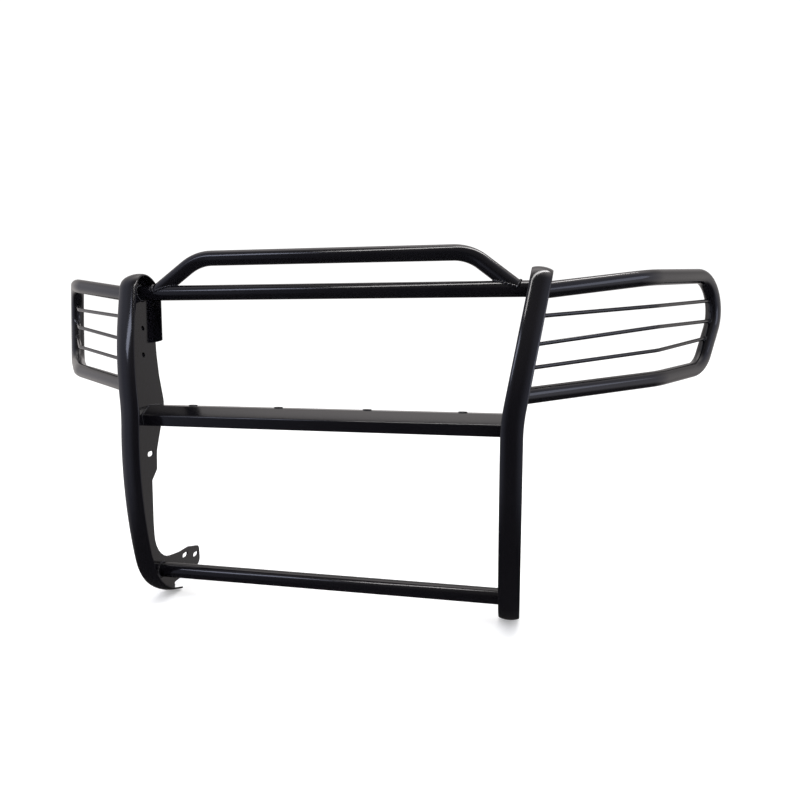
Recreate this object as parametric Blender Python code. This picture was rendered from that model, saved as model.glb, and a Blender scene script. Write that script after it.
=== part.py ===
"""Front grille guard of a full-size pickup truck, a welded and powder-coated steel assembly.

Metres. X runs across the guard, Y rearward to the truck and Z up. While the pieces are made, X = 0 is
the middle of the guard, Y = 0 the foremost rim of the uprights and Z = 0 the height where the uprights
flare outward. At the end one empty carries them all, so that the bottom centre of the whole is the origin.
"""

import math

import bmesh
import bpy
from mathutils import Matrix, Vector

GAP = 0.0003  # between pieces that are welded or seated together
ROOT_GAP = 0.0010  # between a tube and a tube's end that is coped to it
SMOOTH = math.radians(40)  # faces that meet at more than this stay sharp

# Uprights: a flat plate each side, bent outward above Z = 0
SPACING = 0.902  # between the plates' middle planes below the flare
PLATE = 0.0048
FLARE = math.radians(10.1)
FLARE_RUN = 0.070  # height over which the plate bends

# Bull-nose strip: a shallow channel that wraps the plate's front, top and bottom
STRIP_WIDTH = 0.049
STRIP_DEPTH = 0.0085
STRIP_WALL = 0.003
STRIP_POWER = 2.7  # squareness of the section, 2 is an ellipse
STRIP_SIDES = 10
STEP = 0.026  # longest run between two sections along a strip

# Rim line of the strip in the plate's plane, both ways from its foremost point
FOREMOST = -0.093
UPPER_RADIUS, UPPER_TURN = 0.850, math.radians(23)
UPPER_STRAIGHT = 0.075
ARCH_RADIUS, ARCH_TURN = 0.051, math.radians(173.5)
LEG_LENGTH = 0.106
LOWER_RADIUS, LOWER_TURN = 1.100, math.radians(14.85)
HOOK_RADIUS, HOOK_TURN = 0.165, math.radians(57)
HOOK_STRAIGHT = 0.028

# Rear edge of the plate from the strip's leg down: (rearward, height, corner radius)
REAR_EDGE = (
    (0.1600, 0.135, 0.060), (0.1525, 0.080, 0.060), (0.1515, 0.010, 0.025), (0.1060, -0.110, 0.060),
    (0.1040, -0.158, 0.006), (0.0805, -0.182, 0.006), (0.0790, -0.290, 0.200), (0.0840, -0.395, 0.085),
    (0.2000, -0.4120, 0.040), (0.2490, -0.4130, 0.006), (0.3050, -0.4280, 0.014), (0.3095, -0.4830, 0.020),
)
HEEL_SHORT = 0.003  # how far the plate's heel ends before the strip does
HEEL_RISE = 0.004  # height of the heel's tip above the strip's lips
HEEL_NOTCH = 0.012  # length of the heel's tip

# Bolt slots in the plate: (rearward, height, length, width)
SLOTS = (
    (0.0775, -0.1130, 0.026, 0.0135), (0.2270, -0.4300, 0.028, 0.0135), (0.2850, -0.4480, 0.028, 0.0135),
)

# Threaded holes high on the plate, with a weld nut on the outer face: (rearward, height)
NUT_PLACES = ((0.1215, 0.2065), (0.1010, 0.1380))
NUT_HOLE = 0.0130
NUT_FLATS = 0.0190
NUT_HEIGHT = 0.0100
NUT_BORE = 0.0102

# Tubes
TUBE = 0.0381  # outside diameter
TUBE_WALL = 0.0021
TUBE_SIDES = 20
BEND = math.radians(7.5)  # turn between two sections along a tube's bend
TOP_TUBE = (0.1430, 0.2934)  # rearward and height of its axis
LOWER_TUBE = (0.1084, -0.4266)
HOOP = (0.1550, 0.3800)
HOOP_CORNER = SPACING / 2 - 0.1070  # half the distance between its corners
HOOP_FOOT = SPACING / 2 + 0.0055  # half the distance between its ends, on the top tube
HOOP_BEND = 0.1100  # radius of its axis

# Wing: one bent tube from the upper plate, round the lamp and back to the plate
PLATE_LINE = Vector((SPACING / 2, 0, 0))  # the right plate's middle plane, which the wing is set out from
WING_TOP_ROOT = PLATE_LINE + Vector((0.053, 0.125, 0.2870))
WING_TOP_BEND = PLATE_LINE + Vector((0.308, 0.245, 0.3220))
WING_TOP_TIP = PLATE_LINE + Vector((0.568, 0.579, 0.3493))
WING_LOW_TIP = PLATE_LINE + Vector((0.477, 0.447, 0.1000))
WING_LOW_BEND = PLATE_LINE + Vector((0.341, 0.280, 0.0820))
WING_LOW_ROOT = PLATE_LINE + Vector((0.011, 0.068, 0.0520))
WING_BENDS = (0.150, 0.088, 0.088, 0.150)  # radii of the axis in the same order

# Wing rods, set out from the plate too: start on the plate, bend, and height of the end on the wing tube
ROD = 0.0095
ROD_SIDES = 10
ROD_BEND = 0.060
RODS = (
    (Vector((0.043, 0.094, 0.2290)), Vector((0.334, 0.276, 0.2570)), 0.2815),
    (Vector((0.031, 0.100, 0.1645)), Vector((0.337, 0.278, 0.2070)), 0.2250),
    (Vector((0.022, 0.083, 0.1130)), Vector((0.340, 0.280, 0.1505)), 0.1795),
)

# Middle crossbar: a folded channel, its outer face from the front lip to the rear of the shelf
BAR_FACE = ((0.0495, -0.0365), (0.0460, -0.0105), (0.0820, 0.0105), (0.1450, 0.0050))
BAR_SHEET = 0.003
BAR_BEND = 0.006  # outer radius of its folds
LAMP_HOLES = (-0.338, -0.1115, 0.1115, 0.338)
LAMP_HOLE_LINE = 0.0970  # how far back the lamp holes are
LAMP_HOLE = 0.0170

# Plug of a lamp hole
PLUG_HEAD = 0.0220
PLUG_DOME = 0.0032
PLUG_STEM = 0.0130
PLUG_FIT = 0.0006  # clearance round the plug's neck


def material(name, colour, roughness, metallic):
    """A plain coat for one kind of piece."""
    coat = bpy.data.materials.new(name)
    coat.use_nodes = True
    shader = coat.node_tree.nodes["Principled BSDF"]
    shader.inputs["Base Color"].default_value = (*colour, 1)
    shader.inputs["Roughness"].default_value = roughness
    shader.inputs["Metallic"].default_value = metallic
    return coat


def add(name, bm, coat, parent):
    """Makes an object of the mesh, with outward faces and smooth round sides."""
    bmesh.ops.recalc_face_normals(bm, faces=bm.faces)
    mesh = bpy.data.meshes.new(name)
    bm.to_mesh(mesh)
    bm.free()
    mesh.shade_smooth()
    mesh.set_sharp_from_angle(angle=SMOOTH)
    mesh.materials.append(coat)
    piece = bpy.data.objects.new(name, mesh)
    piece.parent = parent
    bpy.context.scene.collection.objects.link(piece)
    return piece


def mirrored(bm, side):
    """Turns a right-hand mesh into the left-hand one where side is -1."""
    if side < 0:
        bmesh.ops.scale(bm, vec=(-1, 1, 1), verts=bm.verts)
    return bm


def cut(piece, cutter):
    """Cuts a closed cutter out of the piece, and keeps the cutter as a hidden guide."""
    cutter.hide_render = True
    cutter.display_type = "WIRE"
    boolean = piece.modifiers.new("cut " + cutter.name, "BOOLEAN")
    boolean.operation = "DIFFERENCE"
    boolean.solver = "EXACT"
    boolean.object = cutter


def rounded(corners, step=BEND):
    """The points of an outline or path whose inner corners are rounded: corners are (point, radius)."""
    points = [Vector(corners[0][0])]
    for (before, _), (corner, radius), (after, _) in zip(corners, corners[1:], corners[2:]):
        corner = Vector(corner)
        into, out = (corner - Vector(before)).normalized(), (Vector(after) - corner).normalized()
        turn = into.angle(out)
        if turn < 0.01 or radius == 0:
            points.append(corner)
            continue
        centre = corner + (out - into).normalized() * radius / math.cos(turn / 2)
        start = corner - into * radius * math.tan(turn / 2) - centre
        ahead = into * radius
        count = max(2, math.ceil(turn / step))
        for i in range(count + 1):
            angle = turn * i / count
            points.append(centre + start * math.cos(angle) + ahead * math.sin(angle))
    points.append(Vector(corners[-1][0]))
    return points


def walk(heading, moves):
    """Points and headings of a path in the plate's plane that starts at its foremost rim.

    A heading is measured from straight up towards the rear. A move is (length or radius, turn).
    """
    place = Vector((0, FOREMOST))
    found = [(place.copy(), heading)]
    for size, turn in moves:
        count = max(1, math.ceil(abs(size * turn) / STEP), math.ceil(abs(turn) / math.radians(8)))
        if turn == 0:
            place = place + Vector((math.sin(heading), math.cos(heading))) * size
            found.append((place.copy(), heading))
            continue
        centre = place + Vector((math.cos(heading), -math.sin(heading))) * math.copysign(size, turn)
        arm = place - centre
        for i in range(1, count + 1):
            angle = turn * i / count
            place = centre + Matrix.Rotation(-angle, 2) @ arm
            found.append((place.copy(), heading + angle))
        heading += turn
    return found


def rim_path():
    """The strip's rim from its hook end, up the front, over the arch and down to the leg's end."""
    up = walk(0, ((UPPER_RADIUS, UPPER_TURN), (UPPER_STRAIGHT, 0), (ARCH_RADIUS, ARCH_TURN), (LEG_LENGTH, 0)))
    down = walk(math.pi, ((LOWER_RADIUS, -LOWER_TURN), (HOOK_RADIUS, -HOOK_TURN), (HOOK_STRAIGHT, 0)))
    return [(place, heading + math.pi) for place, heading in reversed(down[1:])] + up


def outward(heading):
    """The direction out of the plate, at a rim that runs with this heading."""
    return Vector((-math.cos(heading), math.sin(heading)))


FLARE_RADIUS = FLARE_RUN / FLARE


def fold(rearward, height, offset):
    """Where a point of the flat upright lands once the right plate is bent outward."""
    turn = min(max((height + FLARE_RUN / 2) / FLARE_RUN, 0), 1) * FLARE
    beyond = max(height - FLARE_RUN / 2, 0)
    x = SPACING / 2 + FLARE_RADIUS * (1 - math.cos(turn)) + beyond * math.sin(turn) + offset * math.cos(turn)
    z = min(height, -FLARE_RUN / 2) + FLARE_RADIUS * math.sin(turn) + beyond * math.cos(turn)
    return Vector((x, rearward, z - offset * math.sin(turn)))


def plate_offset(point):
    """How far a point lies outward of the nearer plate's middle plane."""
    x, z = abs(point.x) - SPACING / 2, point.z + FLARE_RUN / 2
    turn = math.atan2(z, FLARE_RADIUS - x)
    if turn <= 0:
        return x
    if turn < FLARE:
        return FLARE_RADIUS - math.hypot(FLARE_RADIUS - x, z)
    x -= FLARE_RADIUS * (1 - math.cos(FLARE))
    z -= FLARE_RADIUS * math.sin(FLARE)
    return x * math.cos(FLARE) - z * math.sin(FLARE)


def inside_plates(point):
    """Clearance to the inner face of the nearer plate."""
    return -plate_offset(point) - PLATE / 2 - GAP


def outside_plates(point):
    """Clearance to the outer face of the nearer plate."""
    return plate_offset(point) - PLATE / 2 - GAP


def clear_of_tube(path):
    """A function that gives the clearance to a tube along this path."""
    runs = list(zip(path, path[1:]))

    def clearance(point):
        nearest = math.inf
        for start, end in runs:
            along = end - start
            share = min(max((point - start).dot(along) / along.length_squared, 0), 1)
            nearest = min(nearest, (point - start - along * share).length)
        return nearest - TUBE / 2 - ROOT_GAP

    return clearance


def cope(verts, ahead, clearance, reach):
    """Slides an end's vertices along the tube until they just clear what the tube is welded to."""
    for vert in verts:
        low, high = -0.08, reach
        for _ in range(30):
            middle = (low + high) / 2
            if clearance(vert.co + ahead * middle) > 0:
                low = middle
            else:
                high = middle
        vert.co += ahead * low


def sweep(section, frames):
    """Extrudes a section through a row of frames. Returns the mesh and the vertices of both ends."""
    bm = bmesh.new()
    loops = [[bm.verts.new((x, y, 0)) for x, y in loop] for loop in section]
    if len(loops) == 1:
        faces = [bm.faces.new(loops[0])]
    else:
        edges = [bm.edges.new((a, b)) for loop in loops for a, b in zip(loop, loop[1:] + loop[:1])]
        faces = bmesh.ops.bridge_loops(bm, edges=edges)["faces"]
    bmesh.ops.transform(bm, matrix=frames[0], verts=bm.verts)
    first, last = list(bm.verts), []
    for before, frame in zip(frames, frames[1:]):
        grown = bmesh.ops.extrude_face_region(bm, geom=faces)["geom"]
        if last:
            bmesh.ops.delete(bm, geom=faces, context="FACES_ONLY")
        faces = [item for item in grown if isinstance(item, bmesh.types.BMFace)]
        last = [item for item in grown if isinstance(item, bmesh.types.BMVert)]
        bmesh.ops.transform(bm, matrix=frame @ before.inverted(), verts=last)
    return bm, first, last


def frames_along(path):
    """Frames with Z along the path, each turned from the one before without a twist."""
    heads = [(b - a).normalized() for a, b in zip(path, path[1:])]
    tangents = [heads[0]] + [(a + b).normalized() for a, b in zip(heads, heads[1:])] + [heads[-1]]
    turned = Vector((0, 0, 1)).rotation_difference(tangents[0])
    frames = []
    for i, (place, tangent) in enumerate(zip(path, tangents)):
        if i:
            turned = tangents[i - 1].rotation_difference(tangent) @ turned
        frames.append(Matrix.LocRotScale(place, turned, None))
    return frames


def circle(diameter, sides):
    """The points of a round section."""
    turns = [2 * math.pi * i / sides for i in range(sides)]
    return [(diameter / 2 * math.cos(turn), diameter / 2 * math.sin(turn)) for turn in turns]


def round_bar(path, section, start, end):
    """A tube or rod along a path. start and end are (clearance, reach) of what each end meets."""
    bm, first, last = sweep(section, frames_along(path))
    cope(first, (path[0] - path[1]).normalized(), *start)
    cope(last, (path[-1] - path[-2]).normalized(), *end)
    return bm


def across(line, half):
    """A straight path across the guard, to half each side of the middle."""
    return [Vector((-half, *line)), Vector((half, *line))]


def upright_strip(side):
    """The bull-nose strip, extruded along its rim and then bent with the plate."""
    def half_round(width, depth, turns):
        return [
            (math.copysign(abs(math.cos(t)) ** (2 / STRIP_POWER), math.cos(t)) * width / 2,
             abs(math.sin(t)) ** (2 / STRIP_POWER) * depth) for t in turns
        ]

    turns = [math.pi * i / STRIP_SIDES for i in range(STRIP_SIDES + 1)]
    outer = half_round(STRIP_WIDTH, STRIP_DEPTH, turns)
    inner = half_round(STRIP_WIDTH - 2 * STRIP_WALL, STRIP_DEPTH - STRIP_WALL, turns[::2])
    frames = []
    for place, heading in rim_path():
        out = outward(heading)
        frames.append(Matrix(((1, 0, 0, 0), (0, out.x, math.sin(heading), place.x),
                              (0, out.y, math.cos(heading), place.y), (0, 0, 0, 1))))
    bm, _, _ = sweep([outer + inner[::-1]], frames)
    for vert in bm.verts:
        vert.co = fold(vert.co.y, vert.co.z, vert.co.x)
    return mirrored(bm, side)


def upright_plate(side):
    """The laser-cut plate: its front edge seats in the strip, and its foot reaches back to the truck."""
    seat = STRIP_DEPTH - STRIP_WALL - GAP
    path = rim_path()
    front = [place + outward(heading) * seat for place, heading in path]
    end, heading = path[0]
    forward, inward = Vector((math.sin(heading), math.cos(heading))), -outward(heading)
    front[0] += forward * HEEL_SHORT
    tip = end + forward * HEEL_SHORT + inward * HEEL_RISE
    notch = tip + forward * HEEL_NOTCH + inward * HEEL_RISE
    corners = [(front[-1], 0)] + [((y, z), radius) for y, z, radius in REAR_EDGE]
    corners += [(notch, HEEL_RISE), (tip, 0)]
    outline = front[:-1] + rounded(corners, math.radians(12))
    bm = bmesh.new()
    face = bm.faces.new([bm.verts.new((-PLATE / 2, y, z)) for y, z in outline])
    grown = bmesh.ops.extrude_face_region(bm, geom=[face])["geom"]
    raised = [item for item in grown if isinstance(item, bmesh.types.BMVert)]
    bmesh.ops.translate(bm, vec=(PLATE, 0, 0), verts=raised)
    bmesh.ops.triangulate(bm, faces=[f for f in bm.faces if len(f.verts) > 4])
    for i in range(5):
        level = FLARE_RUN * (i / 4 - 0.5)
        bmesh.ops.bisect_plane(bm, geom=bm.verts[:] + bm.edges[:] + bm.faces[:],
                               plane_co=(0, 0, level), plane_no=(0, 0, 1), dist=1e-6)
    for vert in bm.verts:
        vert.co = fold(vert.co.y, vert.co.z, vert.co.x)
    return mirrored(bm, side)


def plate_holes(side):
    """Cutters of the plate's slots and nut holes, square to the plate where each one is."""
    bm = bmesh.new()
    holes = [(y, z, length - width, width) for y, z, length, width in SLOTS]
    holes += [(y, z, 0, NUT_HOLE) for y, z in NUT_PLACES]
    for rearward, height, travel, width in holes:
        ring = []
        for i in range(20):
            turn = 2 * math.pi * (i + 0.5) / 20
            shift = math.copysign(travel / 2, math.cos(turn))
            ring.append((rearward + shift + width / 2 * math.cos(turn), height + width / 2 * math.sin(turn)))
        face = bm.faces.new([bm.verts.new(fold(y, z, -0.02)) for y, z in ring])
        grown = bmesh.ops.extrude_face_region(bm, geom=[face])["geom"]
        raised = [item for item in grown if isinstance(item, bmesh.types.BMVert)]
        through = fold(rearward, height, 0.02) - fold(rearward, height, -0.02)
        bmesh.ops.translate(bm, vec=through, verts=raised)
    return mirrored(bm, side)


def weld_nut(rearward, height, side):
    """A hexagon nut on the plate's outer face."""
    seat = PLATE / 2 + GAP
    base, top = fold(rearward, height, seat), fold(rearward, height, seat + NUT_HEIGHT)
    hexagon = circle(NUT_FLATS / math.cos(math.pi / 6), 6)
    bm, _, _ = sweep([hexagon, circle(NUT_BORE, 12)], frames_along([base, top]))
    return mirrored(bm, side)


def crossbar():
    """The folded channel, its ends cut to the bent plates."""
    face = rounded([(point, BAR_BEND) for point in BAR_FACE], math.radians(15))
    back = []
    for i, point in enumerate(face):
        along = (face[min(i + 1, len(face) - 1)] - face[max(i - 1, 0)]).normalized()
        back.append(point + Vector((along.y, -along.x)) * BAR_SHEET)
    section = [(y, z) for y, z in face + back[::-1]]
    turn = Matrix(((0, 0, 1), (1, 0, 0), (0, 1, 0))).to_4x4()
    half = SPACING / 2 - PLATE
    frames = [Matrix.Translation((x, 0, 0)) @ turn for x in (-half, half)]
    bm, first, last = sweep([section], frames)
    cope(first, Vector((-1, 0, 0)), inside_plates, 0.05)
    cope(last, Vector((1, 0, 0)), inside_plates, 0.05)
    return bm


def shelf_frame(x):
    """A frame on the crossbar's shelf at one lamp hole, Z square to the shelf."""
    front, rear = (Vector((0, y, z)) for y, z in BAR_FACE[2:])
    along = (rear - front).normalized()
    share = (LAMP_HOLE_LINE - front.y) / (rear.y - front.y)
    place = front.lerp(rear, share)
    normal = Vector((1, 0, 0)).cross(along)
    place.x = x
    return Matrix.LocRotScale(place, Vector((0, 0, 1)).rotation_difference(normal), None)


def lamp_hole_cutters():
    """One cutter for all the lamp holes."""
    bm = bmesh.new()
    for x in LAMP_HOLES:
        bmesh.ops.create_cone(bm, cap_ends=True, segments=20, radius1=LAMP_HOLE / 2, radius2=LAMP_HOLE / 2,
                              depth=0.02, matrix=shelf_frame(x))
    return bm


def hole_plug(x):
    """A turned plug: a low dome on the shelf, and a stem with a snap bead through the hole."""
    neck = LAMP_HOLE / 2 - PLUG_FIT
    under = -BAR_SHEET - GAP
    profile = [(0, PLUG_DOME)]
    for i in range(1, 5):
        turn = math.pi / 2 * i / 4
        profile.append((PLUG_HEAD / 2 * math.sin(turn), GAP + (PLUG_DOME - GAP) * math.cos(turn) ** 0.8))
    profile += [(neck, GAP), (neck, under), (neck + 0.0009, under - 0.0008), (neck - 0.0012, -PLUG_STEM),
                (0, -PLUG_STEM)]
    bm = bmesh.new()
    verts = [bm.verts.new((radius, 0, z)) for radius, z in profile]
    edges = [bm.edges.new(pair) for pair in zip(verts, verts[1:])]
    bmesh.ops.spin(bm, geom=verts + edges, cent=(0, 0, 0), axis=(0, 0, 1), angle=2 * math.pi, steps=16,
                   use_merge=True)
    bmesh.ops.remove_doubles(bm, verts=bm.verts, dist=1e-6)
    bmesh.ops.transform(bm, matrix=shelf_frame(x), verts=bm.verts)
    return bm


for old in list(bpy.data.objects):
    bpy.data.objects.remove(old)

coat = material("black_powder_coat", (0.012, 0.012, 0.014), 0.35, 0.0)
nut_coat = material("coated_nut", (0.010, 0.010, 0.011), 0.45, 0.0)
plastic = material("black_plastic", (0.014, 0.014, 0.014), 0.50, 0.0)

guard = bpy.data.objects.new("grille_guard", None)
bpy.context.scene.collection.objects.link(guard)

tube_section = [circle(TUBE, TUBE_SIDES), circle(TUBE - 2 * TUBE_WALL, TUBE_SIDES // 2)]
rod_section = [circle(ROD, ROD_SIDES)]
inner_face = (inside_plates, 0.05)
outer_face = (outside_plates, 0.05)

top_line = across(TOP_TUBE, fold(0, TOP_TUBE[1], 0).x)
lower_line = across(LOWER_TUBE, fold(0, LOWER_TUBE[1], 0).x)
add("top_cross_tube", round_bar(top_line, tube_section, inner_face, inner_face), coat, guard)
add("lower_cross_tube", round_bar(lower_line, tube_section, inner_face, inner_face), coat, guard)

hoop_line = rounded([((-HOOP_FOOT, *TOP_TUBE), 0), ((-HOOP_CORNER, *HOOP), HOOP_BEND),
                     ((HOOP_CORNER, *HOOP), HOOP_BEND), ((HOOP_FOOT, *TOP_TUBE), 0)])
on_top_tube = (clear_of_tube(top_line), 0.0)
add("top_hoop", round_bar(hoop_line, tube_section, on_top_tube, on_top_tube), coat, guard)

bar = add("mid_crossbar", crossbar(), coat, guard)
cut(bar, add("cut_lamp_holes", lamp_hole_cutters(), coat, guard))
for i, x in enumerate(LAMP_HOLES):
    add(f"hole_plug_{i + 1}", hole_plug(x), plastic, guard)

wing_line = rounded([(WING_TOP_ROOT, 0), (WING_TOP_BEND, WING_BENDS[0]), (WING_TOP_TIP, WING_BENDS[1]),
                     (WING_LOW_TIP, WING_BENDS[2]), (WING_LOW_BEND, WING_BENDS[3]), (WING_LOW_ROOT, 0)])
on_wing = (clear_of_tube(wing_line), 0.0)
tip_line = [point for point in wing_line if point.x > (WING_TOP_TIP.x + WING_TOP_BEND.x) / 2]

for side, hand in ((-1, "left"), (1, "right")):
    plate = add(f"upright_plate_{hand}", upright_plate(side), coat, guard)
    cut(plate, add(f"cut_plate_holes_{hand}", plate_holes(side), coat, guard))
    add(f"upright_strip_{hand}", upright_strip(side), coat, guard)
    for i, (rearward, height) in enumerate(NUT_PLACES):
        add(f"weld_nut_{hand}_{i + 1}", weld_nut(rearward, height, side), nut_coat, guard)
    wing = round_bar(wing_line, tube_section, outer_face, outer_face)
    add(f"wing_tube_{hand}", mirrored(wing, side), coat, guard)
    for i, (root, bend, height) in enumerate(RODS):
        upper = [(a, b) for a, b in zip(tip_line, tip_line[1:]) if a.z >= height > b.z][0]
        tip = upper[0].lerp(upper[1], (upper[0].z - height) / (upper[0].z - upper[1].z))
        rod_line = rounded([(PLATE_LINE + root, 0), (PLATE_LINE + bend, ROD_BEND), (tip, 0)])
        rod = round_bar(rod_line, rod_section, outer_face, on_wing)
        add(f"wing_rod_{hand}_{i + 1}", mirrored(rod, side), coat, guard)

corners = [vert.co for piece in guard.children if not piece.hide_render for vert in piece.data.vertices]
low = Vector([min(corner[axis] for corner in corners) for axis in range(3)])
high = Vector([max(corner[axis] for corner in corners) for axis in range(3)])
guard.location = (-(low.x + high.x) / 2, -(low.y + high.y) / 2, -low.z)
bpy.context.view_layer.update()
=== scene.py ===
"""The looks of a pickup's front grille guard: welded steel tube and plate under a black powder coat."""

import math

import bpy
from mathutils import Matrix, Vector


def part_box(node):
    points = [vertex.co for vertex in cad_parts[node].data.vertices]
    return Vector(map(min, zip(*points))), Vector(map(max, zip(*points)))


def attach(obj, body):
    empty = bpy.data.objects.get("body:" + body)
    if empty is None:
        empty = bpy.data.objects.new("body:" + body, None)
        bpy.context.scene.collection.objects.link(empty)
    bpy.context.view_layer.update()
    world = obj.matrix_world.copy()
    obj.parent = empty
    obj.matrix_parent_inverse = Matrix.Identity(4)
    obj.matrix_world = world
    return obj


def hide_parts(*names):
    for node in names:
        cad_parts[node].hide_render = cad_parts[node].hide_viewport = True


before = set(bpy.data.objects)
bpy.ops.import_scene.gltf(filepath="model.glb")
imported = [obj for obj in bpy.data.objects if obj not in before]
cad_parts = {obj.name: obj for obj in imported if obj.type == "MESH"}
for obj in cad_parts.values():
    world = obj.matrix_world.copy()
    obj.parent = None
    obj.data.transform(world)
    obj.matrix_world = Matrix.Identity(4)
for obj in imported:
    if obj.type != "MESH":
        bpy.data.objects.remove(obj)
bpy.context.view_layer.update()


# Upright plates: two laser-cut plates of 3/16 inch steel, bent outward above the middle crossbar. All else
# is welded to them. The whole guard then gets one black powder coat: a glossy skin with a fine orange
# peel, whose shade and gloss drift a little.

COAT_DEEP = (0.0022, 0.0021, 0.0032)
COAT_THIN = (0.0044, 0.0041, 0.0054)
COAT_DUST = (0.030, 0.029, 0.028)
PATCHES = 7.0  # drifts of shade and gloss in a metre
SPECKS = 60.0  # specks of dust in a metre
EDGE_BREAK = 0.0006  # how far the coat rounds a cut edge
SMOOTH = math.radians(35)  # faces that meet at more than this stay sharp
CORNER = math.radians(50)  # edges sharper than this are cut edges
FLAT = math.radians(0.5)  # triangles that meet at less than this are one face


class Shade:
    """A value in a material's node tree. Sums, differences and products of it become Math nodes."""

    def __init__(self, tree, socket=None):
        self.tree = tree
        self.socket = socket

    def node(self, kind, settings=None, **values):
        """Adds a node, sets it up, then fills its sockets with numbers, colours or other values."""
        node = self.tree.nodes.new(kind)
        for key, setting in (settings or {}).items():
            setattr(node, key, setting)
        for key, value in values.items():
            place = int(key[1:]) if key[1:].isdigit() else key.replace("_", " ")
            socket = node.inputs[place]
            if isinstance(value, Shade):
                self.tree.links.new(value.socket, socket)
            else:
                socket.default_value = value
        return node

    def of(self, kind, output, settings=None, **values):
        """The named output of a new node, as a value."""
        return Shade(self.tree, self.node(kind, settings, **values).outputs[output])

    def math(self, operation, first, second=0.0):
        return self.of("ShaderNodeMath", "Value", {"operation": operation}, i0=first, i1=second)

    def __add__(self, other):
        return self.math("ADD", self, other)

    def __sub__(self, other):
        return self.math("SUBTRACT", self, other)

    def __rsub__(self, other):
        return self.math("SUBTRACT", other, self)

    def __mul__(self, other):
        return self.math("MULTIPLY", self, other)

    def __abs__(self):
        return self.math("ABSOLUTE", self)

    __radd__ = __add__
    __rmul__ = __mul__


def black_finish(name, deep, thin, rough, peel, peel_depth, reflectance):
    """A black skin that drifts in shade and gloss, with an orange peel of that size and a little dust."""
    coat = bpy.data.materials.new(name)
    coat.use_nodes = True
    tree = coat.node_tree
    shader = tree.nodes["Principled BSDF"]
    shader.inputs["IOR"].default_value = reflectance
    s = Shade(tree)
    place = s.of("ShaderNodeTexCoord", "Object")
    drift = s.of("ShaderNodeTexNoise", "Fac", Vector=place, Scale=PATCHES, Detail=4.0, Roughness=0.6)
    skin = s.of("ShaderNodeTexNoise", "Fac", Vector=place, Scale=1 / peel, Detail=2.0, Roughness=0.5)
    grain = s.of("ShaderNodeTexNoise", "Fac", Vector=place, Scale=5 / peel, Detail=1.0, Roughness=0.5)
    specks = s.of("ShaderNodeTexVoronoi", "Distance", {"feature": "F1"}, Vector=place, Scale=SPECKS)
    dust = s.of("ShaderNodeMapRange", "Result", Value=specks, From_Min=0.045, From_Max=0.015)
    colour = s.of("ShaderNodeMix", 2, {"data_type": "RGBA"}, Factor=drift, i6=(*deep, 1), i7=(*thin, 1))
    dusty = s.of("ShaderNodeMix", 2, {"data_type": "RGBA"}, Factor=dust * 0.6, i6=colour, i7=(*COAT_DUST, 1))
    height = skin * 0.75 + grain * 0.25
    bump = s.of("ShaderNodeBump", "Normal", Strength=0.08, Distance=peel_depth, Height=height)
    gloss = rough - 0.05 + drift * 0.08 + grain * 0.03 + dust * 0.15
    tree.links.new(dusty.socket, shader.inputs["Base Color"])
    tree.links.new(gloss.socket, shader.inputs["Roughness"])
    tree.links.new(bump.socket, shader.inputs["Normal"])
    return coat


powder_coat = black_finish("guard_powder_coat", COAT_DEEP, COAT_THIN, rough=0.12, peel=0.0060,
                           peel_depth=0.00003, reflectance=1.47)


def begin_edit():
    """Opens the active piece's mesh with all of it selected."""
    bpy.ops.object.mode_set(mode="EDIT")
    bpy.ops.mesh.select_all(action="SELECT")


def end_edit():
    bpy.ops.object.mode_set(mode="OBJECT")


def close_up():
    """Merges the doubles of the mesh in edit mode and turns its faces outward."""
    bpy.ops.mesh.select_all(action="SELECT")
    bpy.ops.mesh.remove_doubles(threshold=0.00001)
    bpy.ops.mesh.normals_make_consistent(inside=False)


def only(piece):
    """Makes a piece the one that operators act on."""
    bpy.ops.object.select_all(action="DESELECT")
    piece.select_set(True)
    bpy.context.view_layer.objects.active = piece
    return piece


def apply_modifier(piece, kind, **settings):
    """Adds a modifier with those settings and makes its result the mesh."""
    only(piece)
    modifier = piece.modifiers.new(kind.lower(), kind)
    for key, value in settings.items():
        setattr(modifier, key, value)
    bpy.ops.object.modifier_apply(modifier=modifier.name)


def finish(piece, coat, slot, *nodes):
    """Coats a piece, shades its round sides smooth and hands it over in place of those nodes."""
    piece.data.materials.clear()
    piece.data.materials.append(coat)
    only(piece)
    bpy.ops.object.shade_smooth_by_angle(angle=SMOOTH)
    apply_modifier(piece, "WEIGHTED_NORMAL", keep_sharp=True)
    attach(piece, "root")
    if nodes:
        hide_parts(*nodes)


def from_frame(node, name, edge):
    """A merged copy of a frame piece, its flat faces made whole again and its cut edges rounded."""
    copy = bpy.data.objects.new(name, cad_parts[node].data.copy())
    bpy.context.scene.collection.objects.link(copy)
    only(copy)
    begin_edit()
    close_up()
    bpy.ops.mesh.dissolve_limited(angle_limit=FLAT)
    end_edit()
    apply_modifier(copy, "BEVEL", width=edge, segments=2, limit_method="ANGLE", angle_limit=CORNER)
    return copy


for hand in ("left", "right"):
    plate = from_frame(f"upright_plate_{hand}", f"laser_cut_plate_{hand}", EDGE_BREAK)
    finish(plate, powder_coat, "powder_coat", f"upright_plate_{hand}")


# Weld nuts: hexagon steel nuts on the outer face of each plate, behind its two small holes. They are
# welded on before the coat, which is rougher on them.

nut_coat = black_finish("nut_powder_coat", COAT_DEEP, COAT_THIN, rough=0.32, peel=0.0020,
                        peel_depth=0.00012, reflectance=1.45)
for node in sorted(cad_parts):
    if node.startswith("weld_nut"):
        finish(from_frame(node, f"coated_{node}", EDGE_BREAK), nut_coat, "nut_coat", node)


# Bull-nose strips: shallow channels pressed from 3 mm steel that wrap each plate's front, top and hook.
# The section is grown along the rim both ways from the foremost point, given its wall, and bent outward
# together with its plate.

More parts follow.
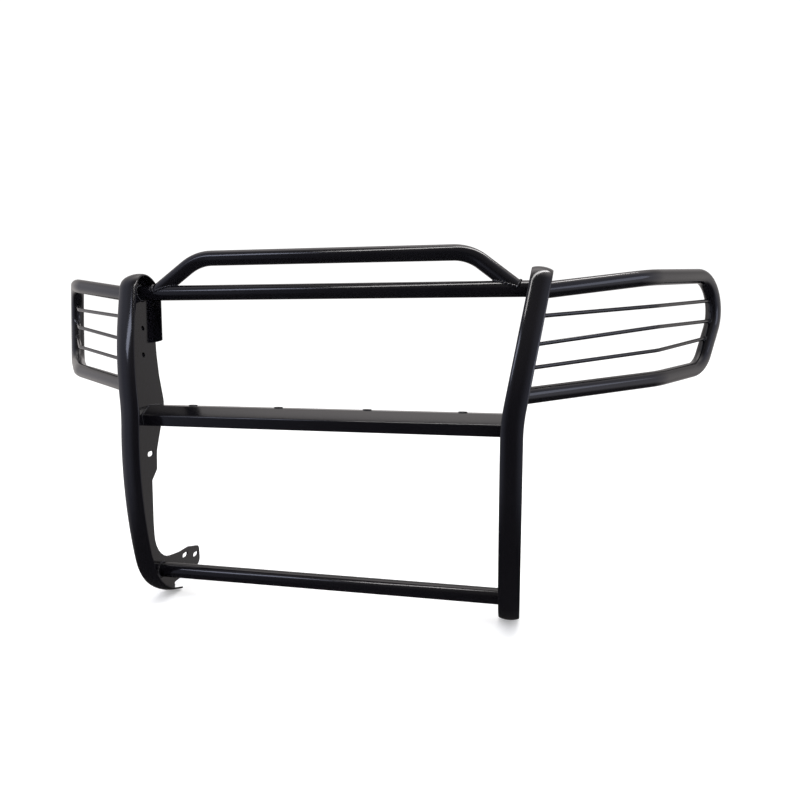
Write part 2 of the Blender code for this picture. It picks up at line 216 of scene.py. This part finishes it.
STRIP_WIDTH = 0.049
STRIP_DEPTH = 0.0085
STRIP_WALL = 0.003
STRIP_SIDE = 0.50  # share of the depth that its side walls take, below the shallow arc of its face
STRIP_CORNER = 7  # squareness of the corners between the face and the side walls
STRIP_SIDES = 32
STRIP_EDGE = 0.0009  # radius of the lips' edges
RIM_STEP = 0.008  # between two sections along the strip
RIM_TURN = 5  # degrees of a bend between two sections, at most
FOREMOST = -0.093  # height of the rim's foremost point
RIM_UP = ((0.850, 23), (0.075, 0), (0.051, 173.5), (0.106, 0))  # radius or length, then degrees
RIM_DOWN = ((1.100, 14.85), (0.165, 57), (0.028, 0))
SPACING = 0.902  # between the plates' middle planes at the bottom
PLATE = 0.0048
FLARE = math.radians(10.1)
FLARE_RUN = 0.070  # height over which the plates bend
FLARE_RADIUS = FLARE_RUN / FLARE
TOP_TUBE = (0.1430, 0.2934)  # rearward and height of its axis, seen from the flare and the foremost rim

low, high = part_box("top_cross_tube")
bench = Vector((0, (low.y + high.y) / 2 - TOP_TUBE[0], (low.z + high.z) / 2 - TOP_TUBE[1]))


def settle(piece):
    """Moves a piece from the bench, where Y and Z count from the rim and the flare, to its place."""
    piece.data.transform(Matrix.Translation(bench))
    return piece


def other_hand(piece, name):
    """A mirror-image copy on the left side, with its own mesh."""
    copy = bpy.data.objects.new(name, piece.data.copy())
    bpy.context.scene.collection.objects.link(copy)
    copy.data.transform(Matrix.Diagonal((-1, 1, 1, 1)))
    copy.data.flip_normals()
    return copy


def flare(point):
    """Where a point of a flat right-hand upright lands once it is bent outward."""
    offset, rearward, height = point
    turn = min(max((height + FLARE_RUN / 2) / FLARE_RUN, 0), 1) * FLARE
    beyond = max(height - FLARE_RUN / 2, 0)
    x = SPACING / 2 + FLARE_RADIUS * (1 - math.cos(turn)) + beyond * math.sin(turn) + offset * math.cos(turn)
    z = min(height, -FLARE_RUN / 2) + FLARE_RADIUS * math.sin(turn) + beyond * math.cos(turn)
    return Vector((x, rearward, z - offset * math.sin(turn)))


def primitive(name, kind, **settings):
    """Adds a primitive with its place in its mesh."""
    bpy.ops.object.select_all(action="DESELECT")
    getattr(bpy.ops.mesh, f"primitive_{kind}_add")(**settings)
    bpy.ops.object.transform_apply(location=True, rotation=True, scale=True)
    bpy.context.object.name = name
    return bpy.context.object


def pick(test):
    """In edit mode, selects the vertices whose places pass the test."""
    bpy.ops.mesh.select_all(action="DESELECT")
    bpy.ops.object.mode_set(mode="OBJECT")
    for vert in bpy.context.object.data.vertices:
        vert.select = test(vert.co)
    bpy.ops.object.mode_set(mode="EDIT")


def spin(centre, axis, turn, steps):
    """Sweeps what is selected about an axis, by the right-hand rule."""
    bpy.ops.mesh.spin(steps=steps, angle=-turn, center=centre, axis=axis)


def push(move):
    """Extrudes what is selected along a straight move."""
    bpy.ops.mesh.extrude_region_move(TRANSFORM_OT_translate={"value": move})


def grow_rim(moves, way):
    """Grows the selected section from the foremost rim: way is 1 going up and -1 going down."""
    place, heading = Vector((0, 0, FOREMOST)), 0.0
    for size, degrees in moves:
        ahead = Vector((0, math.sin(heading), math.cos(heading))) * way
        inward = Vector((0, math.cos(heading), -math.sin(heading)))
        if degrees == 0:
            push(ahead * size)
            place += ahead * size
            continue
        turn = math.radians(degrees) * way
        steps = math.ceil(max(abs(turn) * size / RIM_STEP, degrees / RIM_TURN))
        centre = place + inward * size
        spin(centre, (1, 0, 0), -turn, steps)
        place = centre + Matrix.Rotation(-turn, 3, "X") @ (place - centre)
        heading += turn


def give_wall(skin, wall):
    """Thickens an open skin inward to sheet or tube."""
    apply_modifier(skin, "SOLIDIFY", thickness=wall, offset=-1, use_even_offset=True)


strip = primitive("bull_nose_strip_right", "circle", vertices=2 * STRIP_SIDES, radius=1)
begin_edit()
pick(lambda place: place.y < -0.001)  # the half of the circle that isn't needed
bpy.ops.mesh.delete(type="VERT")
end_edit()
for vert in strip.data.vertices:
    across = min(abs(vert.co.x), 1)
    face = STRIP_SIDE + (1 - STRIP_SIDE) * (1 - across ** 2)
    corner = (1 - across ** STRIP_CORNER) ** (1 / STRIP_CORNER)
    vert.co = (vert.co.x * STRIP_WIDTH / 2, -STRIP_DEPTH * face * corner, FOREMOST)
begin_edit()
grow_rim(RIM_UP, 1)
pick(lambda place: abs(place.z - FOREMOST) < 1e-6)
grow_rim(RIM_DOWN, -1)
close_up()
end_edit()
give_wall(strip, STRIP_WALL)
apply_modifier(strip, "BEVEL", width=STRIP_EDGE, segments=3, limit_method="ANGLE", angle_limit=CORNER)
for vert in strip.data.vertices:
    vert.co = flare(vert.co)
strip_left = other_hand(strip, "bull_nose_strip_left")
finish(settle(strip), powder_coat, "powder_coat", "upright_strip_right")
finish(settle(strip_left), powder_coat, "powder_coat", "upright_strip_left")


# Cross tubes: straight lengths of 1 1/2 inch round steel tube between the plates. Each end is sawn to the
# plate's slant and welded to the plate's inner face.

TUBE = 0.0381
TUBE_WALL = 0.0021
TUBE_SIDES = 64
LOWER_TUBE = (0.1084, -0.4266)
WELD_GAP = 0.0003
PAST_PLATE = 0.52  # half the length of a cross tube before its ends are sawn
BEND_STEP = math.radians(4)  # between two sections of a bend


def bent_bar(name, diameter, sides, corners):
    """A round skin along straight runs and bends: corners are (point, bend radius)."""
    points = [Vector(point) for point, _ in corners]
    heading = (points[1] - points[0]).normalized()
    bar = primitive(name, "circle", vertices=sides, radius=diameter / 2, location=points[0],
                    rotation=heading.to_track_quat("Z", "Y").to_euler())
    begin_edit()
    place = points[0]
    for before, corner, after, (_, radius) in zip(points, points[1:], points[2:], corners[1:]):
        into, out = (corner - before).normalized(), (after - corner).normalized()
        turn, axis = into.angle(out), into.cross(out).normalized()
        start = corner - into * radius * math.tan(turn / 2)
        push(start - place)
        spin(start + axis.cross(into) * radius, axis, turn, math.ceil(turn / BEND_STEP))
        place = corner + out * radius * math.tan(turn / 2)
    push(points[-1] - place)
    close_up()
    end_edit()
    return bar


def plate_face(side, offset, rearward, height):
    """A place on the face of an upright, and the direction that faces outward there."""
    at, beyond = flare((offset, rearward, height)), flare((offset + 1, rearward, height))
    mirror = Matrix.Diagonal((side, 1, 1))
    return mirror @ at, mirror @ (beyond - at)


def saw(bar, place, normal):
    """Takes away all that lies on the normal's side of a plane."""
    only(bar)
    begin_edit()
    bpy.ops.mesh.bisect(plane_co=place, plane_no=normal, clear_outer=True, use_fill=False)
    end_edit()


INNER = -PLATE / 2 - WELD_GAP  # where a bar ends at a plate's inner face
OUTER = PLATE / 2 + WELD_GAP

for name, (rearward, height) in (("top", TOP_TUBE), ("lower", LOWER_TUBE)):
    corners = [((x, rearward, height), 0) for x in (-PAST_PLATE, PAST_PLATE)]
    tube = bent_bar(f"{name}_tube", TUBE, TUBE_SIDES, corners)
    for side in (-1, 1):
        saw(tube, *plate_face(side, INNER, rearward, height))
    give_wall(tube, TUBE_WALL)
    finish(settle(tube), powder_coat, "powder_coat", f"{name}_cross_tube")


# Top hoop: the same tube, bent twice over a former. Its two ends are coped to the top cross tube and
# welded down on it.

HOOP = (0.1550, 0.3800)
HOOP_CORNER = SPACING / 2 - 0.1070  # half the distance between its corners
HOOP_FOOT = SPACING / 2 + 0.0055  # half the distance between its ends
HOOP_BEND = 0.1100
COPE = 0.0006  # gap at the coped ends

hoop = bent_bar("bent_top_hoop", TUBE, TUBE_SIDES, [
    ((-HOOP_FOOT, *TOP_TUBE), 0), ((-HOOP_CORNER, *HOOP), HOOP_BEND),
    ((HOOP_CORNER, *HOOP), HOOP_BEND), ((HOOP_FOOT, *TOP_TUBE), 0)])
give_wall(hoop, TUBE_WALL)
cope_bar = primitive("cope_bar", "cylinder", vertices=TUBE_SIDES, radius=TUBE / 2 + COPE,
                     depth=2 * PAST_PLATE, location=(0, *TOP_TUBE), rotation=(0, math.radians(90), 0))
apply_modifier(hoop, "BOOLEAN", operation="DIFFERENCE", solver="EXACT", object=cope_bar)
bpy.data.objects.remove(cope_bar)
finish(settle(hoop), powder_coat, "powder_coat", "top_hoop")


# Middle crossbar: one 3 mm sheet folded into a front lip, a sloped face and a shelf for driving lamps.
# Four holes in the shelf take the lamps' bolts.

finish(from_frame("mid_crossbar", "folded_crossbar", EDGE_BREAK / 2), powder_coat, "powder_coat",
       "mid_crossbar")


# Hole plugs: moulded black plastic snap plugs that close the four lamp holes, with a low domed head
# and a stem whose bead snaps under the sheet.

PLUG_HEAD = 0.0220
PLUG_DOME = 0.0032
PLUG_NECK = 0.0158
PLUG_SHEET = 0.0036  # length of the neck, a little over the sheet's thickness
PLUG_STEM = 0.0090
PLUG_LEAD = 0.0004  # height of the slope from the neck to the bead
PLUG_BEAD = 0.0012
PLUG_SWELL = 1.10  # radius of the bead, in necks
PLUG_TAPER = 0.80  # radius of the stem's end, in beads
PLUG_WALL = 0.0016
PLUG_FLOOR = 0.0020
PLUG_DRAFT = 0.95  # radius of the stem's bore at its floor, of that at its mouth
PLUG_CROWN = 0.00025
LAMP_HOLES = (-0.338, -0.1115, 0.1115, 0.338)
LAMP_HOLE_LINE = 0.0970
SHELF = ((0.0820, 0.0105), (0.1450, 0.0050))  # rearward and height of its front and rear edges

plastic = black_finish("plug_plastic", (0.0060, 0.0060, 0.0064), (0.0090, 0.0088, 0.0088), rough=0.30,
                       peel=0.0012, peel_depth=0.00005, reflectance=1.48)


def grow_face(depth, radius_ratio):
    """Extrudes the selected face downward and changes its radius."""
    push((0, 0, -depth))
    bpy.ops.transform.resize(value=(radius_ratio, radius_ratio, 1), center_override=(0, 0, 0))


slope = math.atan2(SHELF[1][1] - SHELF[0][1], SHELF[1][0] - SHELF[0][0])
along_shelf = (LAMP_HOLE_LINE - SHELF[0][0]) / (SHELF[1][0] - SHELF[0][0])
shelf_height = SHELF[0][1] + along_shelf * (SHELF[1][1] - SHELF[0][1])
first_plug = primitive("snap_plug", "cylinder", vertices=48, radius=PLUG_HEAD / 2, depth=PLUG_DOME,
                       location=(0, 0, WELD_GAP + PLUG_DOME / 2))
begin_edit()
pick(lambda place: place.z < PLUG_DOME / 2)
bpy.ops.mesh.inset(thickness=(PLUG_HEAD - PLUG_NECK) / 2)
grow_face(PLUG_SHEET + WELD_GAP, 1)
grow_face(PLUG_LEAD, PLUG_SWELL)
grow_face(PLUG_BEAD, 1)
grow_face(PLUG_STEM - PLUG_LEAD - PLUG_BEAD, PLUG_TAPER)
bpy.ops.mesh.inset(thickness=PLUG_WALL)
grow_face(PLUG_FLOOR - PLUG_STEM, PLUG_DRAFT)
pick(lambda place: place.z > PLUG_DOME)
bpy.ops.mesh.bevel(offset=PLUG_DOME * 0.85, segments=6, profile=0.55)
pick(lambda place: place.z > PLUG_DOME and place.xy.length < PLUG_HEAD / 2 - PLUG_DOME * 0.8)
bpy.ops.mesh.inset(thickness=PLUG_HEAD * 0.16)
bpy.ops.transform.translate(value=(0, 0, PLUG_CROWN))
bpy.ops.mesh.inset(thickness=PLUG_HEAD * 0.10)
close_up()
end_edit()
for i, x in enumerate(LAMP_HOLES):
    plug = bpy.data.objects.new(f"snap_plug_{i + 1}", first_plug.data.copy())
    bpy.context.scene.collection.objects.link(plug)
    seat = Matrix.Translation((x, LAMP_HOLE_LINE, shelf_height)) @ Matrix.Rotation(slope, 4, "X")
    plug.data.transform(seat)
    finish(settle(plug), plastic, "plug_plastic", f"hole_plug_{i + 1}")
bpy.data.objects.remove(first_plug)


# Wing tubes: one tube each side, bent four times, from high on the plate round the headlamp and back to
# the plate. Both ends are mitred to the plate's outer face and welded.

PLATE_LINE = Vector((SPACING / 2, 0, 0))  # the right plate's middle plane, which the wing is set out from
WING_PATH = [(PLATE_LINE + Vector(corner), radius) for corner, radius in (
    ((0.053, 0.125, 0.2870), 0), ((0.308, 0.245, 0.3220), 0.150), ((0.568, 0.579, 0.3493), 0.088),
    ((0.477, 0.447, 0.1000), 0.088), ((0.341, 0.280, 0.0820), 0.150), ((0.011, 0.068, 0.0520), 0),
)]
INTO_PLATE = 0.03  # how much longer a wing's ends are before they are mitred


def drawn_out(root, bend):
    """The start of a bar that comes from the bend, far enough past its root to be mitred."""
    return root + (root - bend).normalized() * INTO_PLATE


root, *bends, heel = WING_PATH
wing = bent_bar("bent_wing_tube_right", TUBE, TUBE_SIDES, [
    (drawn_out(root[0], bends[0][0]), 0), *bends, (drawn_out(heel[0], bends[-1][0]), 0)])
upper_face, plate_out = plate_face(1, OUTER, *root[0].yz)
saw(wing, upper_face, -plate_out)
give_wall(wing, TUBE_WALL)
wing_left = other_hand(wing, "bent_wing_tube_left")
finish(settle(wing), powder_coat, "powder_coat", "wing_tube_right")
finish(settle(wing_left), powder_coat, "powder_coat", "wing_tube_left")


# Wing rods: three 3/8 inch steel rods across each wing, bent once, welded to the plate's outer face and
# to the inside of the wing tube's end run.

ROD = 0.0095
ROD_SIDES = 24
ROD_BEND = 0.060
RUN_TOP, RUN_LOW = WING_PATH[2][0], WING_PATH[3][0]  # corners of the wing tube's end run
ROD_REACH = TUBE / 2 - 0.0005  # from the wing tube's axis to a rod's end


def set_out(root, bend, height):
    """A rod's root, bend and tip. The tip is at that height on the end run's axis, without its bends."""
    tip = RUN_TOP.lerp(RUN_LOW, (RUN_TOP.z - height) / (RUN_TOP.z - RUN_LOW.z))
    return PLATE_LINE + Vector(root), PLATE_LINE + Vector(bend), tip


RODS = (
    set_out((0.043, 0.094, 0.2290), (0.334, 0.276, 0.2570), 0.2815),
    set_out((0.031, 0.100, 0.1645), (0.337, 0.278, 0.2070), 0.2250),
    set_out((0.022, 0.083, 0.1130), (0.340, 0.280, 0.1505), 0.1795),
)

for i, (root, bend, tip) in enumerate(RODS):
    end = tip - (tip - bend).normalized() * ROD_REACH
    rod = bent_bar(f"bent_rod_right_{i + 1}", ROD, ROD_SIDES, [
        (drawn_out(root, bend), 0), (bend, ROD_BEND), (end, 0)])
    saw(rod, upper_face, -plate_out)
    begin_edit()
    bpy.ops.mesh.select_all(action="DESELECT")
    bpy.ops.mesh.select_non_manifold(extend=False)
    bpy.ops.mesh.fill_holes(sides=0)
    close_up()
    end_edit()
    rod_left = other_hand(rod, f"bent_rod_left_{i + 1}")
    finish(settle(rod), powder_coat, "powder_coat", f"wing_rod_right_{i + 1}")
    finish(settle(rod_left), powder_coat, "powder_coat", f"wing_rod_left_{i + 1}")


# Welds: beads of wire-fed steel, laid by hand wherever a bar meets a plate or another bar, with the
# ripples that each dab of metal leaves. They are coated with the rest.

BEAD = 0.0032  # half the width of a bead round a tube
ROD_BEAD = 0.0026
BAR_BEAD = 0.8 * BEAD
DAB = 0.0034  # from one ripple to the next
DAB_ROWS = 6
BEAD_SIDES = 10
RIPPLE = 0.16  # how much a ripple swells
BLUNT = 14  # how abruptly an open bead ends
NEARBY = 0.002  # share of a bead over which its direction is taken
BAR_FACE = ((0.0495, -0.0365), (0.0460, -0.0105), *SHELF)  # rearward and height of the crossbar's folds


def lay_bead(name, route, length, size, closed):
    """A rippled bead: route gives a place and the way out of the corner for a share of its length."""
    dabs = round(length / DAB)
    bead = primitive(name, "grid", x_subdivisions=DAB_ROWS * dabs, y_subdivisions=BEAD_SIDES, size=1)
    for vert in bead.data.vertices:
        share, turn = vert.co.x + 0.5, 2 * math.pi * vert.co.y
        place, out = route(share)
        ahead = (route(share + NEARBY)[0] - route(share - NEARBY)[0]).normalized()
        swell = size * (1 - RIPPLE + 2 * RIPPLE * abs(math.sin(math.pi * dabs * share)))
        if not closed:
            swell *= math.sqrt(max(0, 1 - abs(2 * share - 1) ** BLUNT))
        vert.co = place + (out * math.cos(turn) + ahead.cross(out).normalized() * math.sin(turn)) * swell
    only(bead)
    begin_edit()
    close_up()
    end_edit()
    return bead


def meet_plane(face, normal):
    """Where a straight line reaches a plane."""
    return lambda place, ahead: place + ahead * (face - place).dot(normal) / ahead.dot(normal)


def meet_tube(centre, along):
    """Where a straight line first reaches a tube's skin."""
    along = along.normalized()

    def meet(place, ahead):
        across = (place - centre) - along * (place - centre).dot(along)
        speed = ahead - along * ahead.dot(along)
        half = across.dot(speed)
        inside = half ** 2 - speed.length_squared * (across.length_squared - (TUBE / 2) ** 2)
        return place + ahead * (-half - math.sqrt(max(inside, 0))) / speed.length_squared

    return meet


def seam(start, end, diameter, meet):
    """The route round the end of a bar that runs from start to end, where it meets something."""
    start, end = Vector(start), Vector(end)
    ahead = (end - start).normalized()
    side = ahead.orthogonal().normalized()
    over = ahead.cross(side)

    def route(share):
        out = side * math.cos(2 * math.pi * share) + over * math.sin(2 * math.pi * share)
        return meet(start + out * diameter / 2, ahead), (out - ahead).normalized()

    return route


def weld_round(name, start, end, diameter, meet, size):
    """A bead right round the end of a bar."""
    return lay_bead(name, seam(start, end, diameter, meet), math.pi * diameter, size, True)


def weld_both(name, *settings):
    """The same bead on both hands."""
    bead = weld_round(f"{name}_right", *settings)
    finish(settle(other_hand(bead, f"{name}_left")), powder_coat, "powder_coat")
    finish(settle(bead), powder_coat, "powder_coat")


for name, line in (("top_tube", TOP_TUBE), ("lower_tube", LOWER_TUBE)):
    face = meet_plane(*plate_face(1, -PLATE / 2, *line))
    weld_both(f"weld_{name}", (0, *line), (1, *line), TUBE, face, BEAD)

on_top_tube = meet_tube(Vector((0, *TOP_TUBE)), Vector((1, 0, 0)))
weld_both("weld_hoop", (HOOP_CORNER, *HOOP), (HOOP_FOOT, *TOP_TUBE), TUBE, on_top_tube, BEAD)

wing_corners = [corner for corner, _ in WING_PATH]
on_plate = meet_plane(*plate_face(1, PLATE / 2, *wing_corners[0].yz))
weld_both("weld_wing_top", wing_corners[1], wing_corners[0], TUBE, on_plate, BEAD)
weld_both("weld_wing_low", wing_corners[-2], wing_corners[-1], TUBE, on_plate, BEAD)

on_wing = meet_tube(RUN_TOP, RUN_LOW - RUN_TOP)
for i, (root, bend, tip) in enumerate(RODS):
    weld_both(f"weld_rod_root_{i + 1}", bend, root, ROD, on_plate, ROD_BEAD)
    weld_both(f"weld_rod_tip_{i + 1}", bend, tip, ROD, on_wing, ROD_BEAD)


def bar_seam(share):
    """The route along the crossbar's outer face where it meets the right plate."""
    left = share * bar_length
    for start, end in bar_runs:
        if left <= (end - start).length or end == bar_folds[-1]:
            break
        left -= (end - start).length
    ahead = (end - start).normalized()
    place = start + ahead * left
    to_plate = Vector((1, 0, 0))
    off_face = to_plate.cross(ahead)
    return flare((-PLATE / 2, place.y, place.z)), (off_face - to_plate).normalized()


bar_folds = [Vector((0, *fold)) for fold in BAR_FACE]
bar_runs = list(zip(bar_folds, bar_folds[1:]))
bar_length = sum((end - start).length for start, end in bar_runs)
bar_bead = lay_bead("weld_crossbar_right", bar_seam, bar_length, BAR_BEAD, False)
finish(settle(other_hand(bar_bead, "weld_crossbar_left")), powder_coat, "powder_coat")
finish(settle(bar_bead), powder_coat, "powder_coat")


# Stage: a plain pale floor in a white studio, with three long soft boxes. A dome that only reflections see
# stands for the studio's walls: pale behind the guard and at its sides, dark and bluish in front of it.

FLOOR = 80
FLOOR_PAINT = (0.90, 0.90, 0.90, 1)
FLOOR_GLOW = 0.25
STUDIO_LIGHT = 1.10
WARM_WHITE = (1.0, 0.95, 0.94, 1)
COOL_WHITE = (0.72, 0.76, 1.0, 1)
BLUISH = (0.74, 0.79, 1.0)
DOME = 12  # radius of the reflection dome, which the heights and distances of its glows go with
MIDDLE = Vector((0, 0, 0.6))  # what the soft boxes face

floor = primitive("floor", "plane", size=FLOOR)
floor.visible_glossy = False
paper = bpy.data.materials.new("floor_paper")
paper.use_nodes = True
matt = paper.node_tree.nodes["Principled BSDF"]
matt.inputs["Base Color"].default_value = FLOOR_PAINT
matt.inputs["Roughness"].default_value = 0.9
matt.inputs["Emission Color"].default_value = (1, 1, 1, 1)
matt.inputs["Emission Strength"].default_value = FLOOR_GLOW
floor.data.materials.append(paper)

world = bpy.data.worlds.new("studio")
world.use_nodes = True
world.node_tree.nodes["Background"].inputs["Color"].default_value = (1, 1, 1, 1)
world.node_tree.nodes["Background"].inputs["Strength"].default_value = STUDIO_LIGHT
bpy.context.scene.world = world
bpy.context.scene.view_settings.view_transform = "Standard"

dome = primitive("reflection_dome", "uv_sphere", segments=48, ring_count=24, radius=DOME)
for ray in ("camera", "diffuse", "shadow", "transmission"):
    setattr(dome, f"visible_{ray}", False)
glow = bpy.data.materials.new("dome_glow")
glow.use_nodes = True
glow.node_tree.nodes.clear()
s = Shade(glow.node_tree)
split = s.node("ShaderNodeSeparateXYZ", Vector=s.of("ShaderNodeTexCoord", "Object"))
aside = abs(Shade(s.tree, split.outputs["X"]))
rear = Shade(s.tree, split.outputs["Y"])
up = Shade(s.tree, split.outputs["Z"])


def fade(value, start, end):
    """0 up to the start and 1 from the end on, with a smooth change between them."""
    smooth = {"interpolation_type": "SMOOTHSTEP"}
    return s.of("ShaderNodeMapRange", "Result", smooth, Value=value, From_Min=start, From_Max=end)


walls = fade(up, -8.0, -3.5)
behind = fade(rear, -4.0, 6.0)
flanks = fade(aside, 8.5, 11.5) * walls
overhead = fade(up, 2.0, 9.0)
skylight = fade(up, 8.4, 11.6) * behind
front_corners = fade(aside, 2.5, 8.5) * fade(up, -7.0, -2.0) * (1 - behind)
warm = 0.03 + walls * behind * 0.45 + flanks * 0.50 + overhead * 0.15 + skylight * 1.7
cool = front_corners * 0.55
warm_glow = s.of("ShaderNodeEmission", "Emission", Color=WARM_WHITE, Strength=warm)
cool_glow = s.of("ShaderNodeEmission", "Emission", Color=COOL_WHITE, Strength=cool)
both = s.of("ShaderNodeAddShader", "Shader", i0=warm_glow, i1=cool_glow)
s.node("ShaderNodeOutputMaterial", Surface=both)
dome.data.materials.append(glow)


def soft_box(name, start, end, width, colour, radiance):
    """A long soft box between two points, facing the guard."""
    start, end = Vector(start), Vector(end)
    centre, length = (start + end) / 2, (end - start).length
    box = bpy.data.lights.new(name, "AREA")
    box.shape = "RECTANGLE"
    box.size = length
    box.size_y = width
    box.color = colour
    box.energy = radiance * math.pi * length * width
    light = bpy.data.objects.new(name, box)
    bpy.context.scene.collection.objects.link(light)
    along = (end - start).normalized()
    wide = (centre - MIDDLE).normalized().cross(along).normalized()
    turn = Matrix((along, wide, along.cross(wide))).transposed().to_4x4()
    light.matrix_world = Matrix.Translation(centre) @ turn


soft_box("ceiling_light", (1.4, 1.0, 2.8), (-0.7, -1.7, 2.8), 0.26, (1.0, 0.98, 0.97), 13.0)
soft_box("left_light", (-1.1, -2.2, 2.8), (-2.8, -3.9, 2.8), 0.60, BLUISH, 6.0)
soft_box("right_light", (3.0, -2.1, 0.9), (3.0, -0.8, 1.9), 1.0, BLUISH, 2.2)

CAMERA = Vector((0.4704, -1.3701, 0.2000))  # from the foremost rim and the flare, as the guard's own sizes
CAMERA_DOWN, CAMERA_LEFT = math.radians(5.94), math.radians(11.44)

lens = bpy.data.cameras.new("camera")
lens.sensor_width = 36
lens.lens = 28.83
lens.shift_x = 0.0090
lens.shift_y = -0.0045
camera = bpy.data.objects.new("camera", lens)
bpy.context.scene.collection.objects.link(camera)
camera.location = bench + CAMERA
camera.rotation_euler = (math.pi / 2 - CAMERA_DOWN, 0, CAMERA_LEFT)
bpy.context.scene.camera = camera
